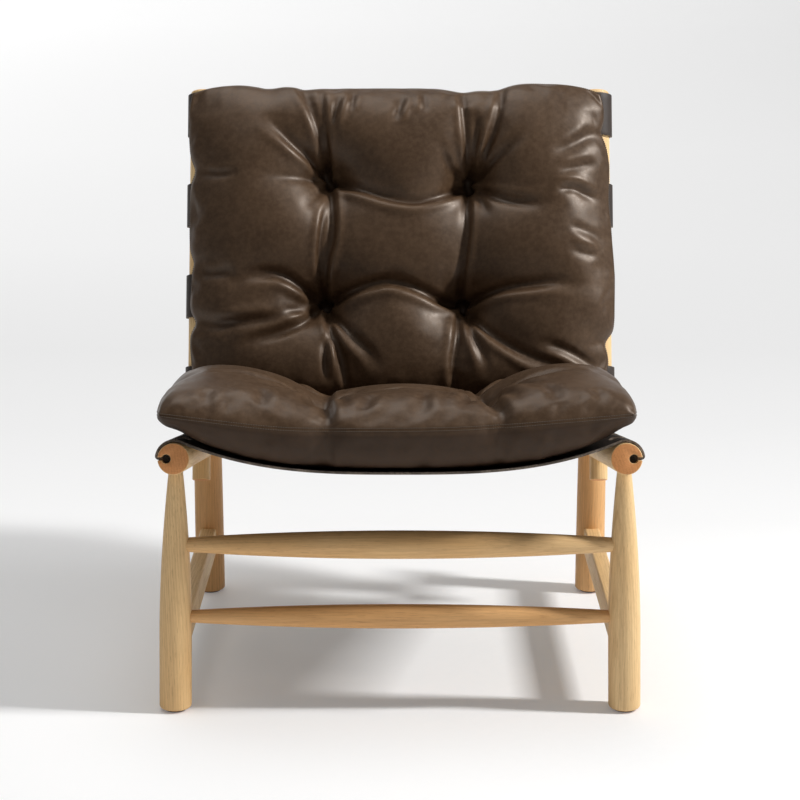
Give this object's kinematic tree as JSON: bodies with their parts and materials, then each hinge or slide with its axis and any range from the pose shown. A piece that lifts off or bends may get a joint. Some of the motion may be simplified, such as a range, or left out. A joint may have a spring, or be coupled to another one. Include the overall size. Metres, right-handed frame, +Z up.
{
  "type": "leather sling lounge chair",
  "caption": "Low armless lounge chair: a turned wooden frame with leather slings wrapped round its rails and posts, and loose tufted leather cushions on the seat and back.",
  "frame": {"origin": "on the floor, under the middle of the chair's bounding box", "axes": "+X to the viewer's right when looking at the chair's front, +Y to the back, +Z up; the chair faces -Y. Names with _right lie at +X"},
  "size_m": [0.6854, 0.7112, 0.8066],
  "materials": {
    "oak": "satin clear oil on pale oak",
    "sling_leather": "satin, thick dark brown hide with raw dark edges",
    "cushion_leather": "satin, soft mottled dark brown aniline leather",
    "black_rod": "matte black rod",
    "dark_glide": "matte dark grey glide"
  },
  "bodies": {
    "frame": {"front_leg_right": "oak", "front_leg_left": "oak", "rear_leg_right": "oak", "rear_leg_left": "oak", "seat_rail_right": "oak", "seat_rail_left": "oak", "back_post_right": "oak", "back_post_left": "oak", "post_pin_right": "oak", "post_pin_left": "oak", "side_board_right": "oak", "side_board_left": "oak", "front_glide_right": "dark_glide", "front_glide_left": "dark_glide", "rear_glide_right": "dark_glide", "rear_glide_left": "dark_glide", "seat_sling_rod_right": "black_rod", "seat_sling_rod_left": "black_rod", "back_sling_rod_right": "black_rod", "back_sling_rod_left": "black_rod", "front_stretcher_upper": "oak", "front_stretcher_lower": "oak", "rear_cross_rail": "oak", "back_cross_rail": "oak", "seat_sling": "sling_leather", "back_sling": "sling_leather"},
    "seat_cushion_body": {"seat_cushion": "cushion_leather"},
    "back_cushion_body": {"back_cushion": "cushion_leather"}
  },
  "joints": [
    {"name": "seat_cushion_lift_off", "type": "slide", "parent": "frame", "child": "seat_cushion_body", "axis": [0, -0.9703, 0.2419], "range_m": [0, 0.46]},
    {"name": "back_cushion_lift_off", "type": "slide", "parent": "frame", "child": "back_cushion_body", "axis": [0, 0.3746, 0.9272], "range_m": [0, 0.52]}
  ]
}
